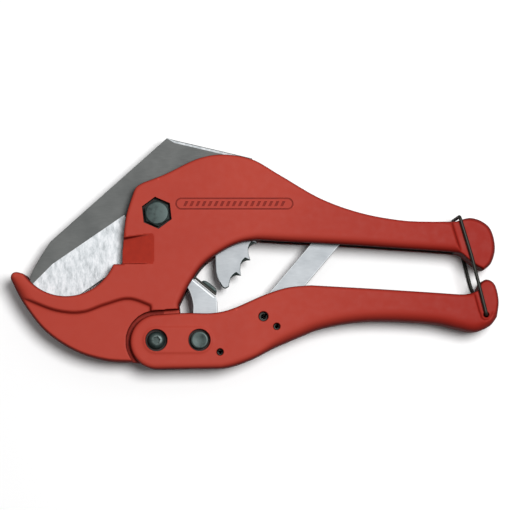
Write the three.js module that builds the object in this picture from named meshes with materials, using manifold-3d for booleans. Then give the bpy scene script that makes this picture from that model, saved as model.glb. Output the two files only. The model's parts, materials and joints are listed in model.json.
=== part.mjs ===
// A ratchet pipe cutter for plastic pipe up to 42 mm, lying on its side.
// Millimetres. X runs from the jaw to the handle ends, Y across the tool, Z through its thickness.
// Pieces are drawn round the blade pivot, with z = 0 in the middle of the blade. The exported
// group then moves them so that the origin is below the middle of the tool, on its resting plane.

import * as THREE from 'three';
import { ConvexGeometry } from 'three/addons/geometries/ConvexGeometry.js';
import { mergeVertices } from 'three/addons/utils/BufferGeometryUtils.js';
import Module from 'manifold-3d';

const wasm = await Module();
wasm.setup();

// ---- Driving dimensions ----

const BODY_HALF = 10; // half the thickness of the body casting
const HANDLE_HALF = 9.6; // half the thickness of the moving handle
const RELIEF_HALF = 8; // half the thickness where a face is stepped down
const TONGUE_HALF = 5.1; // half the thickness of the body where the moving handle straddles it
const CHANNEL_HALF = 5.5; // half the width inside both handles
const WALL = 3.4; // thickness of the web along each handle's back
const BLADE_HALF = 2; // half the blade's thickness
const SLOT_HALF = 2.3; // half the width of the slot that the blade turns in
const BEYOND = 12; // cutting tools reach this far from the middle plane
const CLEAR = 0.2; // gap round shafts

const PIVOT = { x: 0, y: 0 }; // the blade turns here
const HINGE = { x: 0, y: -54.6 }; // the moving handle turns here
const PAWL = { x: 18.4, y: -54.5 }; // the pawl turns here
const NOSE = { x: 7.3, y: -24.3 }; // the pin that catches the ratchet teeth
const PAWL_STOP = { x: 27.2, y: -59.6 };
const LEVER = { x: 45.7, y: -44.4 }; // the opening lever turns here
const SPRING_ANCHOR = { x: 51.4, y: -48.7 };
const LATCH = { x: 141.1, y: -43.6 }; // the wire latch turns here
const JAW = { x: -38.9, y: -13.9, r: 21.8 }; // a 42 mm pipe lies in this arc

const TAIL_TIP = 44.6; // radius over the ratchet teeth, from the blade pivot
const TAIL_ROOT = 41.8;
const TAIL_INSIDE = 30.5; // inner radius of the hooked tail, which clears the parked nose
const TOOTH_PITCH = 10.1; // degrees
const FIRST_TOOTH = -5.9; // degrees
const TOOTH_COUNT = 5;
const TAIL_SLOT = 45.3; // radius of the slot round the tail
const CORNER_SLOT = 48.2; // radius of the slot round the blade's back corner
const TIP_SLOT = 63.4; // radius of the slot round the blade's tip

const EDGE_ANGLE = 34.6; // degrees from +X to the cutting edge
const EDGE_OFFSET = 9.33; // distance from the blade pivot to the cutting edge
const BEVEL_WIDTH = 17.4; // width of the ground bevel
const TIP_ANGLE = 45.3; // towards the tip the bevel starts along this steeper line
const TIP_START = 17.1; // distance from the blade pivot to that line
const TIP_WIDTH = 14.9;
const EDGE_HALF = 0.2; // half the thickness left at the cutting edge

const BOLT = 3; // radius of the M6 blade bolt
const BOLT_HEAD = 10; // across its flats, and across those of its nut
const BOLT_TURN = 36.6; // degrees to a corner of its head
const SCREW = 2.5; // radius of the M5 pivot screw and pawl bolt
const SCREW_HEAD = 3.75;
const SCREW_NUT = 8; // across its flats
const SEAT = 7; // level of the shoulders that the screw heads and nuts lie on
const BUSH = 4; // outer radius of the bush in the handle pivot
const NOSE_PIN = 1.4;
const SMALL_PIN = 1.3; // radius of the pawl stop and spring anchor pins
const LEVER_PIN = 1.9; // radius of the pin that the lever turns on
const PIN_REACH = 8; // half the length of these pins, which end below the handle's faces

const LEVER_ANGLE = 49.7; // degrees from +X
const LEVER_LENGTH = 51.8;
const LEVER_WIDTH = 9.8;
const LEVER_HALF = 1.5;

const WIRE_RADIUS = 0.75; // latch wire
const WIRE_LEVEL = 9.1; // height of the latch legs from the middle plane
const LATCH_FRONT = { x: 129.9, y: -1.5 }; // the latch crosses the upper handle from here
const LATCH_BACK = { x: 128.7, y: -1.8 }; // to here

const rad = THREE.MathUtils.degToRad;
const polar = (r, degrees) => [r * Math.cos(rad(degrees)), r * Math.sin(rad(degrees))];
const vectors = (points) => points.map(([x, y]) => new THREE.Vector2(x, y));

// ---- Outlines ----

const arc = (centre, r, from, to) => ({ ...centre, r, from: rad(from), to: rad(to) });

// A closed outline. Each run is an arc, or a list of points joined by one smooth curve (two points
// make a straight line). The runs meet at corners.
function outline(...runs) {
  const shape = new THREE.Shape();
  for (const run of runs) {
    if (!Array.isArray(run)) {
      shape.absarc(run.x, run.y, run.r, run.from, run.to, run.to < run.from);
      continue;
    }
    const [first, ...rest] = vectors(run);
    if (shape.curves.length) shape.lineTo(first.x, first.y);
    else shape.moveTo(first.x, first.y);
    if (rest.length > 1) shape.splineThru(rest);
    else shape.lineTo(rest[0].x, rest[0].y);
  }
  return shape;
}

const polygon = (...points) => new THREE.Shape(vectors(points));

// ---- Solids ----

function solidOf(geometry) {
  geometry.deleteAttribute('normal');
  geometry.deleteAttribute('uv');
  const merged = mergeVertices(geometry, 1e-4);
  const corners = merged.index.array;
  const triVerts = [];
  for (let i = 0; i < corners.length; i += 3) {
    const [a, b, c] = [corners[i], corners[i + 1], corners[i + 2]];
    if (a !== b && b !== c && c !== a) triVerts.push(a, b, c);
  }
  const vertProperties = merged.attributes.position.array;
  return new wasm.Manifold(
    new wasm.Mesh({ numProp: 3, vertProperties, triVerts: new Uint32Array(triVerts) }),
  );
}

// The outline between two heights, with its edges rounded by `rounding`.
function slab(shape, low, high, { rounding = 0, curveSegments = 5 } = {}) {
  const geometry = new THREE.ExtrudeGeometry(shape, {
    depth: high - low - 2 * rounding,
    bevelEnabled: rounding > 0,
    bevelThickness: rounding,
    bevelSize: rounding,
    bevelOffset: -rounding,
    bevelSegments: 2,
    curveSegments,
  });
  geometry.translate(0, 0, low + rounding);
  return solidOf(geometry);
}

// A round bar along Z. Six sides make a hexagon with a corner at `turn` degrees.
function bar({ x, y }, r, low, high, sides = 32, turn = 0) {
  const geometry = new THREE.CylinderGeometry(r, r, high - low, sides);
  geometry.rotateX(Math.PI / 2);
  geometry.rotateZ(rad(turn) + Math.PI / 2);
  geometry.translate(x, y, (low + high) / 2);
  return solidOf(geometry);
}

const hexRadius = (acrossFlats) => acrossFlats / Math.sqrt(3);

// A profile of [radius, height] pairs turned round an axis along Z. It starts and ends on the axis.
function turned({ x, y }, profile, sides = 32) {
  const geometry = new THREE.LatheGeometry(vectors(profile), sides);
  geometry.rotateX(Math.PI / 2);
  geometry.translate(x, y, 0);
  return solidOf(geometry);
}

function tube(centre, inner, outer, low, high, sides = 32) {
  return bar(centre, outer, low, high, sides).subtract(bar(centre, inner, low - 1, high + 1, sides));
}

// Straight stretches between points in space, with each corner rounded over `reach` on both sides.
function bentPath(points, reach) {
  const path = new THREE.CurvePath();
  let from = points[0];
  for (let i = 1; i < points.length; i += 1) {
    const [corner, last] = [points[i], i === points.length - 1];
    const back = corner.clone().sub(from).setLength(reach);
    const until = last ? corner : corner.clone().sub(back);
    path.add(new THREE.LineCurve3(from, until));
    if (last) break;
    const onward = points[i + 1].clone().sub(corner).setLength(reach).add(corner);
    path.add(new THREE.QuadraticBezierCurve3(until, corner, onward));
    from = onward;
  }
  return path;
}

// Round wire along a 3-D curve, with an even number of sides.
function wire(curve, radius, steps, sides = 8) {
  const section = new THREE.Shape();
  section.absarc(0, 0, radius, 0, 2 * Math.PI);
  const geometry = new THREE.ExtrudeGeometry(section, {
    steps,
    curveSegments: sides / 2,
    extrudePath: curve,
  });
  return solidOf(geometry);
}

// The same cut in the front and the back face: everything in the outline beyond `depth`.
function cutBothFaces(solid, shape, depth) {
  return solid.subtract(slab(shape, depth, BEYOND)).subtract(slab(shape, -BEYOND, -depth));
}

function drill(solid, centre, r) {
  return solid.subtract(bar(centre, r, -BEYOND, BEYOND, 24));
}

// ---- Body casting: head, hook and upper handle ----

const upperHandleTop = [
  [52.8, 16.4], [70.2, 6.3], [87.4, 0.1], [104.6, -3.1], [118, -3.7],
];

function bodyOutline() {
  return outline(
    [[-15, -22], [-14.7, -14], [-13.3, -1.5], [-10.4, 8.2]],
    [[-10.4, 8.2], [-9, 11.2], [-5.9, 13.2]],
    [[-5.9, 13.2], [3.4, 16.8], [17.5, 23.5], [28.5, 25.3], [40.9, 23.2], ...upperHandleTop, [128.4, -3.5]],
    [[128.4, -3.5], [135.7, -1.7], [143, -5.6], [145.5, -14], [143.9, -21], [140.4, -24.4]],
    [[140.4, -24.4], [136.4, -22.2], [131.5, -17.9]],
    [[131.5, -17.9], [127.5, -16.8], [104, -15.1], [78.6, -13.4], [54.8, -12.2], [42.7, -11.4]],
    [[42.7, -11.4], [36, -12.4], [28.8, -15.6], [20.3, -21.7], [14.2, -30.1], [9.4, -39.4]],
    [[9.4, -39.4], [10.2, -46], [10.6, HINGE.y]],
    arc(HINGE, 10.6, 0, -88),
    [
      [0, -65.3], [-9.3, -64.1], [-21.6, -63.3], [-34.8, -59.3], [-47.8, -50.7], [-57.4, -38.6],
      [-62.3, -29.1],
    ],
    arc({ x: -60.2, y: -27.8 }, 2.5, 211, 70),
    arc(JAW, JAW.r, 214, 338.4),
  );
}

// Below this S-shaped line the hook's faces are stepped down.
function hookRelief() {
  return outline(
    [[-66, -33], [-57.6, -36.5], [-43.6, -42], [-32, -42.9], [-22, -39.6], [-12, -37.1], [-2.8, -40]],
    [[-2.8, -40], [-2.8, -75]],
    [[-66, -75], [-66, -33]],
  );
}

function bladeSlot() {
  const edge = EDGE_OFFSET + 1.2; // the slot is this far from the pivot below the cutting edge
  const reach = Math.sqrt(TIP_SLOT ** 2 - edge ** 2);
  const below = EDGE_ANGLE - 90;
  const along = (t) => {
    const [nx, ny] = polar(edge, below);
    const [tx, ty] = polar(t, EDGE_ANGLE);
    return [nx + tx, ny + ty];
  };
  const tip = 180 + EDGE_ANGLE + THREE.MathUtils.radToDeg(Math.asin(edge / TIP_SLOT));
  const forTip = outline([along(-10), along(-reach)], arc(PIVOT, TIP_SLOT, tip, 165));
  const forCorner = outline([[0, 0], polar(CORNER_SLOT, -38)], arc(PIVOT, CORNER_SLOT, -38, 50));
  return bar(PIVOT, TAIL_SLOT, -SLOT_HALF, SLOT_HALF, 72)
    .add(slab(forTip, -SLOT_HALF, SLOT_HALF))
    .add(slab(forCorner, -SLOT_HALF, SLOT_HALF, { curveSegments: 10 }));
}

// Room inside the head for the pawl's nose and leaf spring, open towards the moving handle.
function pawlCavity() {
  const shape = outline([[3.2, -28.5], [3.2, -16]], arc(HINGE, 39.7, 85, 45), [[21, -34], [10.5, -34]]);
  return slab(shape, -CHANNEL_HALF, CHANNEL_HALF);
}

// The upper handle is a channel, open towards the moving handle.
function upperChannel() {
  const roof = upperHandleTop.map(([x, y]) => [x, y - WALL]);
  const shape = outline(
    [[44.6, -22], [44.6, 13.5]],
    [[44.6, 13.5], [47.6, 14.3], ...roof, [125, -7.9]],
    [[127, -10], [129, -22]],
  );
  return slab(shape, -CHANNEL_HALF, CHANNEL_HALF, { curveSegments: 3 });
}

// A shallow panel for a plain mark, with a raised middle: an outline only, with no lettering.
function markGroove() {
  const [left, right, y, r] = [10.5, 56, 3.9, 2.6];
  const lozenge = (grow) => outline(
    arc({ x: left, y }, r + grow, 270, 90),
    arc({ x: right, y }, r + grow, 90, -90),
  );
  const floor = BODY_HALF - 0.35;
  return slab(lozenge(0), floor, BEYOND).subtract(slab(lozenge(-0.7), floor - 1, BEYOND + 1));
}

// A pocket beside the jaw that falls away towards the head's front edge, below a slanted wall.
function slopedPocket() {
  const [right, left, fall, top, bottom] = [-1, -18, 3.4, -8.9, -22];
  const face = BODY_HALF;
  const below = [[left, face - fall], [right, face], [right, face + 6], [left, face + 6]];
  const corners = below.flatMap(([x, z]) => {
    const wall = top - Math.max(0, face - z); // the wall leans by 45 degrees
    return [new THREE.Vector3(x, bottom, z), new THREE.Vector3(x, wall, z)];
  });
  return solidOf(new ConvexGeometry(corners));
}

function bodyCasting() {
  let solid = slab(bodyOutline(), -BODY_HALF, BODY_HALF, { rounding: 1.6, curveSegments: 2 });
  solid = cutBothFaces(solid, hookRelief(), RELIEF_HALF);
  const cheekRoom = outline(
    arc({ x: 0, y: -55.2 }, 14, -75, -270),
    [[9, -41.2], [22, -41.2]],
    [[22, -72], [3.6, -72]],
  );
  solid = cutBothFaces(solid, cheekRoom, TONGUE_HALF);
  const bulbRelief = polygon([127.2, 2], [127, -4.5], [131.6, -20], [133, -30], [150, -30], [150, 2]);
  solid = cutBothFaces(solid, bulbRelief, RELIEF_HALF);
  solid = solid.subtract(bladeSlot()).subtract(pawlCavity()).subtract(upperChannel());
  solid = solid.subtract(markGroove()).subtract(slopedPocket());
  solid = drill(solid, HINGE, BUSH + CLEAR);
  solid = drill(solid, PIVOT, BOLT + CLEAR);
  const [headPocket, pocketFloor] = [BOLT_HEAD + 2.1, 5.6];
  const [nutRecess, recessFloor] = [6.9, -4.6];
  solid = solid.subtract(bar(PIVOT, hexRadius(headPocket), pocketFloor, BEYOND, 6, BOLT_TURN));
  return solid.subtract(bar(PIVOT, nutRecess, -BEYOND, recessFloor));
}

// ---- Moving handle ----

const handleUnderside = [
  [27.8, -66.5], [33.3, -65.4], [41.6, -62.2], [49.8, -57.9], [60.6, -53.3], [70.1, -49.6], [84.3, -46.8],
  [100, -46.2], [118.9, -47.4],
];

function handleOutline() {
  return outline(
    arc({ x: 0.3, y: -55.2 }, 11.7, -90, -270),
    [[0.3, -43.5], [12, -42.9], [24, -42.9], [32.8, -40.9], [45.7, -35.3], [56, -32], [66, -31]],
    [[66, -31], [91.4, -32.4], [118, -34.1], [130.4, -34.9], [134.6, -34.4], [137.8, -33.2]],
    [[137.8, -33.2], [138.8, -30], [141.8, -28.3], [145.2, -30.6], [146.8, -37.5], [146, -44.4]],
    [[146, -44.4], [142.8, -48.4], [136.4, -50.9], [129, -49.6], ...[...handleUnderside].reverse()],
  );
}

// The space between the handle's two sides, open upwards and round the body's tongue.
function handleChannel() {
  const floor = handleUnderside.map(([x, y]) => [x, y + WALL]);
  const shape = outline(
    [[-20, -20], [-20, -80]],
    [[13.4, -80], [13.4, -62.9]],
    [[13.4, -62.9], ...floor, [124, -45.2]],
    [[126, -43], [128, -20]],
  );
  return slab(shape, -CHANNEL_HALF, CHANNEL_HALF, { curveSegments: 3 });
}

// A step at the handle's end that lets the latch wire lie flush and swing outwards.
function latchStep() {
  return outline(
    [[134, -26], [138.4, -42.5]],
    arc(LATCH, 2.2, 170, 330),
    [[143.7, -42.9], [145.7, -40.5]],
    [[152, -40.5], [152, -26]],
  );
}

function movingHandle() {
  const pad = outline(arc(HINGE, 5.4, 270, 90), arc(PAWL, 5.4, 90, -90));
  let solid = slab(handleOutline(), -HANDLE_HALF, HANDLE_HALF, { rounding: 2, curveSegments: 2 });
  solid = solid.add(slab(pad, -BODY_HALF, BODY_HALF));
  solid = solid.subtract(handleChannel());
  solid = cutBothFaces(solid, latchStep(), RELIEF_HALF);
  const [headRecess, nutRecess] = [4.7, 5];
  for (const pivot of [HINGE, PAWL]) {
    solid = drill(solid, pivot, SCREW + CLEAR);
    solid = solid.subtract(bar(pivot, headRecess, SEAT, BEYOND));
    solid = solid.subtract(bar(pivot, nutRecess, -BEYOND, 0.1 - SEAT));
  }
  solid = drill(solid, LEVER, LEVER_PIN + CLEAR);
  solid = drill(solid, SPRING_ANCHOR, SMALL_PIN + CLEAR);
  solid = drill(solid, PAWL_STOP, SMALL_PIN + CLEAR);
  return drill(solid, LATCH, WIRE_RADIUS + 0.45);
}

// ---- Blade ----

// Ratchet teeth that flare out to their tips and are undercut below them. Each tooth's points are
// [radius, degrees past the tip].
function ratchetTeeth() {
  const undercut = [[TAIL_ROOT + 0.5, 2.6], [TAIL_ROOT, 4.6], [TAIL_ROOT + 1.1, 7.6]];
  const points = [];
  for (let i = 0; i < TOOTH_COUNT - 1; i += 1) {
    const tip = FIRST_TOOTH - i * TOOTH_PITCH;
    points.push(polar(TAIL_TIP, tip), ...undercut.map(([r, past]) => polar(r, tip - past)));
  }
  points.push(polar(TAIL_TIP - 0.8, FIRST_TOOTH - (TOOTH_COUNT - 1) * TOOTH_PITCH + 1));
  return points;
}

function bladeOutline() {
  const shape = outline(
    [[-46.5, -12], [3.9, 33.3]],
    [[40.8, 24.6], [44.6, 12]],
    [[44.6, 12], [44.2, 4], polar(TAIL_ROOT, 0)],
  );
  for (const [x, y] of ratchetTeeth()) shape.lineTo(x, y);
  const tailEnd = [[29.3, -32], [28.3, -31.6], [26.8, -29.3], [25.3, -25], polar(TAIL_INSIDE, -35)];
  shape.splineThru(vectors(tailEnd));
  shape.absarc(0, 0, TAIL_INSIDE, rad(-35), rad(-4), false);
  shape.quadraticCurveTo(14, 0, ...polar(10.5, -30));
  shape.absarc(0, 0, 10.5, rad(-30), rad(-82.7), true);
  shape.lineTo(-44.9, -42.3);
  shape.lineTo(-55, -30.2);
  shape.splineThru(vectors([[-54.6, -26.4], [-52.4, -21.6], [-46.5, -12]]));
  return shape;
}

// Everything in front of a bevel's plane. The bevel starts along a line at `angle`, `start` from
// the pivot, and falls to the cutting edge's thickness over `width`.
function groundOff(angle, start, width, from, to) {
  const slope = (BLADE_HALF - EDGE_HALF) / width;
  const far = 60;
  const section = polygon(
    [-start, BLADE_HALF],
    [far - start, BLADE_HALF - slope * far],
    [far - start, BLADE_HALF + 3],
    [-start, BLADE_HALF + 3],
  );
  const geometry = new THREE.ExtrudeGeometry(section, { depth: to - from, bevelEnabled: false });
  geometry.rotateX(Math.PI / 2); // the section stands up, and its length runs along -Y
  geometry.translate(0, -from, 0);
  geometry.rotateZ(rad(angle - 90));
  return solidOf(geometry);
}

// The bevel on one face: it stops 12 mm short of the pivot and turns to a steeper line at the tip.
function bevelCut(side) {
  const along = groundOff(EDGE_ANGLE, BEVEL_WIDTH - EDGE_OFFSET, BEVEL_WIDTH, 12, 72);
  const solid = along.intersect(groundOff(TIP_ANGLE, TIP_START, TIP_WIDTH, -40, 90));
  return side > 0 ? solid : solid.mirror([0, 0, 1]);
}

function blade() {
  const plate = slab(bladeOutline(), -BLADE_HALF, BLADE_HALF, { curveSegments: 8 });
  return drill(plate.subtract(bevelCut(1)).subtract(bevelCut(-1)), PIVOT, BOLT + CLEAR);
}

// ---- Pawl ----

function pawlPlate(low, high) {
  const shape = outline(
    [[12.9, -54.5], [14.6, -48], [15.5, -42], [15.2, -37.5], [13.1, -31.9], [9.2, -28.6], [5.4, -26.2]],
    arc(NOSE, 2.6, 220, 47),
    [onPawlEdge(0, 0), onPawlEdge(19.4, 0)],
    [onPawlEdge(19.4, 0), [25.7, -37.2], [26, -43], [27.2, -50], [28.3, -54.6]],
    [[28.3, -54.6], [28, -56.2], [23.5, -56.3]],
    arc(PAWL, 5.5, -20, -180),
  );
  const plate = slab(shape, low, high, { curveSegments: 3 });
  return drill(drill(plate, PAWL, SCREW + CLEAR), NOSE, NOSE_PIN + CLEAR);
}

// The slanted top edge of the pawl plates, as a frame for the leaf spring: `t` runs down the edge
// from the nose end and `up` is the height above it.
function onPawlEdge(t, up) {
  const [x0, y0, angle] = [9.9, -23.3, -38.9];
  const [tx, ty] = polar(t, angle);
  const [ux, uy] = polar(up, angle + 90);
  return [x0 + tx + ux, y0 + ty + uy];
}

function pawlLeafSpring(low, high) {
  const lift = (t) => 0.3 + 0.012 * Math.max(0, 9 - t) ** 2; // the free end curls up
  const stations = [19.2, 14, 9, 6, 3, 0, -2];
  const thickness = 0.9;
  const bottom = stations.map((t) => onPawlEdge(t, lift(t)));
  const top = stations.map((t) => onPawlEdge(t, lift(t) + thickness)).reverse();
  return slab(outline(bottom, top), low, high, { curveSegments: 2 });
}

function leafSpringClamp(low, high) {
  const [from, to, base, height] = [10.8, 19, 1.5, 1.3];
  const crown = [0, 0.16, 0.5, 0.84, 1].map((s) => {
    const rise = Math.sqrt(Math.max(0, 1 - Math.abs(2 * s - 1) ** 3));
    return onPawlEdge(from + s * (to - from), base + height * rise);
  });
  return slab(outline(crown), low, high);
}

// ---- Opening lever and its spring ----

function openingLever() {
  const half = LEVER_WIDTH / 2;
  const end = LEVER_LENGTH - half;
  const shape = outline(arc(PIVOT, half, 270, 90), arc({ x: end, y: 0 }, half, 90, -90));
  return drill(slab(shape, -LEVER_HALF, LEVER_HALF), PIVOT, LEVER_PIN + CLEAR);
}

class TorsionSpringCurve extends THREE.Curve {
  // Round the lever pin, from a leg on the anchor pin to a leg beside the lever's edge.
  getPoint(t, target = new THREE.Vector3()) {
    const [coil, low, pitch, turns] = [3.1, 2.4, 1.1, 2.15];
    const [legA, legB] = [0.12, 0.82]; // shares of the length where the coil starts and ends
    const startAngle = rad(-128);
    const angleAt = (share) => startAngle + share * turns * 2 * Math.PI;
    const share = THREE.MathUtils.clamp((t - legA) / (legB - legA), 0, 1);
    const a = angleAt(share);
    const z = low + pitch * turns * (1 - share);
    target.set(coil * Math.cos(a), coil * Math.sin(a), z);
    const run = t < legA ? (t - legA) / legA * 8 : t > legB ? (t - legB) / (1 - legB) * 11 : 0;
    target.x -= run * Math.sin(a);
    target.y += run * Math.cos(a);
    return target;
  }
}

// A slotted spring pin: a sprung tube with a slit along it.
function springPin(centre, r, reach, slitAngle) {
  const bore = 0.58 * r;
  const slit = 14; // half the slit, in degrees
  const shape = outline(
    arc(centre, r, slitAngle + slit, slitAngle + 360 - slit),
    arc(centre, bore, slitAngle + 360 - slit, slitAngle + slit),
  );
  return slab(shape, -reach, reach, { curveSegments: 7 });
}

// ---- Latch ----

// One spring wire: hooked into the handle's end from the front, over the upper handle and back down
// behind it. Its legs bow to opposite sides. `share` is how far up a leg its bow is.
function latchCurve() {
  const inner = 3.4;
  const leg = (top, sign, share, bow) => [
    new THREE.Vector3(LATCH.x, LATCH.y, sign * inner),
    new THREE.Vector3(LATCH.x, LATCH.y, sign * WIRE_LEVEL),
    new THREE.Vector3(
      THREE.MathUtils.lerp(LATCH.x, top.x, share) + bow,
      THREE.MathUtils.lerp(LATCH.y, top.y, share),
      sign * WIRE_LEVEL,
    ),
    new THREE.Vector3(top.x, top.y, sign * WIRE_LEVEL),
  ];
  const front = leg(LATCH_FRONT, 1, 0.6, 0.5);
  const back = leg(LATCH_BACK, -1, 0.3, -1.1);
  return bentPath([...front, ...back.reverse()], 1.6);
}

// ---- Fasteners ----

function bladeBolt() {
  const shank = bar(PIVOT, BOLT, -9.5, 6.5);
  const head = bar(PIVOT, hexRadius(BOLT_HEAD), 5.9, 9.7, 6, BOLT_TURN);
  const chamfer = turned(PIVOT, [[0, 5], [7, 5], [7, 8.4], [4.7, 9.7], [0, 9.7]]);
  return head.intersect(chamfer).add(shank);
}

// Profile of a screw's shank, up to the shoulder under its head.
function screwShank() {
  const [end, shoulder] = [-9.4, SEAT + 0.2];
  return [[0, end], [SCREW, end], [SCREW, shoulder], [SCREW_HEAD, shoulder]];
}

// A button-head screw with a socket, seen on the handle's face.
function pivotScrew(centre) {
  const dome = [[SCREW_HEAD, 8.2], [3.3, 9], [2.2, 9.5], [0, 9.5]];
  const socket = bar(centre, hexRadius(3), 8.2, BEYOND, 6, 10);
  return turned(centre, [...screwShank(), ...dome]).subtract(socket);
}

// A bolt with a flat round head.
function flatBolt(centre) {
  return turned(centre, [...screwShank(), [SCREW_HEAD, 9.1], [3.4, 9.5], [0, 9.5]]);
}

function hexNut(centre, acrossFlats, bore, low, high) {
  const nut = bar(centre, hexRadius(acrossFlats), low, high, 6, 12);
  return nut.subtract(bar(centre, bore, low - 1, high + 1));
}

// ---- Materials and assembly ----

const redPaint = { color: 0xba4a3e, roughness: 0.45, metalness: 0.1 };
const darkSteel = { color: 0x737575, roughness: 0.45, metalness: 0.9 };
const brightSteel = { color: 0xc8ccd0, roughness: 0.35, metalness: 0.9 };
const blackOxide = { color: 0x3a4846, roughness: 0.5, metalness: 0.7 };
const springWire = { color: 0x322f28, roughness: 0.45, metalness: 0.6 };

function add(parent, name, solid, look) {
  const { vertProperties, triVerts } = solid.getMesh();
  const geometry = new THREE.BufferGeometry();
  geometry.setAttribute('position', new THREE.BufferAttribute(new Float32Array(vertProperties), 3));
  geometry.setIndex(new THREE.BufferAttribute(new Uint32Array(triVerts), 1));
  geometry.computeVertexNormals();
  const mesh = new THREE.Mesh(geometry, new THREE.MeshStandardMaterial(look));
  mesh.name = name;
  parent.add(mesh);
  return mesh;
}

const cutter = new THREE.Group();

// The body and what is fixed to it
add(cutter, 'body_casting', bodyCasting(), redPaint);
add(cutter, 'blade_bolt', bladeBolt(), blackOxide);
add(cutter, 'blade_washer', tube(PIVOT, BOLT + CLEAR, 2 * BOLT, -6.1, -4.9), brightSteel);
add(cutter, 'blade_nut', hexNut(PIVOT, BOLT_HEAD, BOLT + CLEAR, -9.6, -6.4), blackOxide);
add(cutter, 'handle_pivot_bush', tube(HINGE, SCREW + CLEAR, BUSH, -5, 5), brightSteel);

add(cutter, 'blade', blade(), darkSteel);

// The moving handle and what is fixed to it
add(cutter, 'moving_handle', movingHandle(), redPaint);
add(cutter, 'handle_pivot_screw', pivotScrew(HINGE), blackOxide);
add(cutter, 'handle_pivot_nut', hexNut(HINGE, SCREW_NUT, SCREW + CLEAR, -9.5, -7.1), blackOxide);
add(cutter, 'pawl_pivot_bolt', flatBolt(PAWL), blackOxide);
add(cutter, 'pawl_pivot_nut', hexNut(PAWL, SCREW_NUT, SCREW + CLEAR, -9.5, -7.1), blackOxide);
add(cutter, 'pawl_stop_pin', springPin(PAWL_STOP, SMALL_PIN, PIN_REACH, 150), brightSteel);
add(cutter, 'lever_pin', springPin(LEVER, LEVER_PIN, PIN_REACH, 40), brightSteel);
add(cutter, 'spring_anchor_pin', springPin(SPRING_ANCHOR, SMALL_PIN, PIN_REACH, 80), brightSteel);
add(cutter, 'lever_spacer', tube(LEVER, LEVER_PIN + CLEAR, 3.4, -5.2, -1.8, 24), brightSteel);

// The pawl
const plateInside = 2.6;
add(cutter, 'pawl_plate_front', pawlPlate(plateInside, TONGUE_HALF), brightSteel);
add(cutter, 'pawl_plate_rear', pawlPlate(-TONGUE_HALF, -plateInside), brightSteel);
add(cutter, 'pawl_nose_pin', bar(NOSE, NOSE_PIN, -TONGUE_HALF, TONGUE_HALF, 24), brightSteel);
add(cutter, 'pawl_bush', tube(PAWL, SCREW + CLEAR, 4.4, -2.3, 2.3), brightSteel);
add(cutter, 'pawl_leaf_spring', pawlLeafSpring(plateInside, TONGUE_HALF), springWire);
add(cutter, 'leaf_spring_clamp', leafSpringClamp(plateInside, TONGUE_HALF), blackOxide);

// The opening lever, drawn along its own X
const lever = new THREE.Group();
lever.position.set(LEVER.x, LEVER.y, 0);
lever.rotation.z = rad(LEVER_ANGLE);
add(lever, 'opening_lever', openingLever(), brightSteel);
cutter.add(lever);

const leverSpring = add(cutter, 'lever_spring', wire(new TorsionSpringCurve(), 0.42, 64, 6), springWire);
leverSpring.position.set(LEVER.x, LEVER.y, 0);

add(cutter, 'latch_wire', wire(latchCurve(), WIRE_RADIUS, 72), springWire);

// The origin is below the middle of the tool's box, on the plane it rests on.
const pipeCutter = new THREE.Group();
pipeCutter.add(cutter);
pipeCutter.updateMatrixWorld(true);
const box = new THREE.Box3().setFromObject(pipeCutter, true);
cutter.position.set(-(box.min.x + box.max.x) / 2, -(box.min.y + box.max.y) / 2, -box.min.z);

export default pipeCutter;
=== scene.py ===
"""A ratchet pipe cutter lying on its side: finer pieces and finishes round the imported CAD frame.

Pieces are drawn in millimetres round the blade pivot, as in part.mjs: +X towards the handle ends,
+Y towards the upper handle, +Z towards the front face, z = 0 in the middle of the blade. `settle`
then moves a finished piece to the frame, in metres.
"""

import json
import math

import bmesh
import bpy
from mathutils import Matrix, Vector


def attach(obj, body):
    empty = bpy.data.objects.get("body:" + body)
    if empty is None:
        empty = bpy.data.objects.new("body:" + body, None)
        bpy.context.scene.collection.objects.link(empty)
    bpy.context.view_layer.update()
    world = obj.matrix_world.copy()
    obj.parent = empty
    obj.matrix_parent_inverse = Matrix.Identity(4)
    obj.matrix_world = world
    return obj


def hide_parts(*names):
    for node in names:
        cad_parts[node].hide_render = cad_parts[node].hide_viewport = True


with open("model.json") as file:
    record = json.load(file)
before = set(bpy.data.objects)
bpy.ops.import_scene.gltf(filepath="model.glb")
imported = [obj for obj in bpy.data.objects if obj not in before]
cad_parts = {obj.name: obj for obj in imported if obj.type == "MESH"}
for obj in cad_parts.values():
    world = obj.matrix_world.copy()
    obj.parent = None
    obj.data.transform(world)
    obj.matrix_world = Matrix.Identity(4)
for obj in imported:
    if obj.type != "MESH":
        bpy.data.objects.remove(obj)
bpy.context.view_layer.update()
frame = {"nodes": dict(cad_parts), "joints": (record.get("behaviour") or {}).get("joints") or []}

MM = 0.001
JOINTS = {joint["name"]: Vector(joint["pos_m"]) for joint in frame["joints"]}
ORIGIN = JOINTS["blade_hinge"]  # the drawing's origin, in the frame


def drawn(joint):
    """A joint's place in the drawing."""
    place = (JOINTS[joint] - ORIGIN) / MM
    return place.x, place.y


# ---- Driving dimensions, in millimetres ----

BODY_HALF = 10  # half the thickness of the body casting
HANDLE_HALF = 9.6
RELIEF_HALF = 8  # half the thickness where a face is stepped down
TONGUE_HALF = 5.1  # half the thickness of the body between the moving handle's sides
CHANNEL_HALF = 5.5  # half the width inside both handles
WALL = 3.4  # thickness of the web along each handle's back
BLADE_HALF = 2
SLOT_HALF = 2.3
BEYOND = 12  # cutting tools reach this far from the middle plane
CLEAR = 0.2

PIVOT = (0, 0)
HINGE = drawn("handle_hinge")
PAWL = drawn("pawl_hinge")
LEVER = drawn("lever_hinge")
LATCH = drawn("latch_hinge")
NOSE = (7.3, -24.3)
PAWL_STOP = (27.2, -59.6)
SPRING_ANCHOR = (51.4, -48.7)
JAW, JAW_RADIUS = (-38.9, -13.9), 21.8

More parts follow.
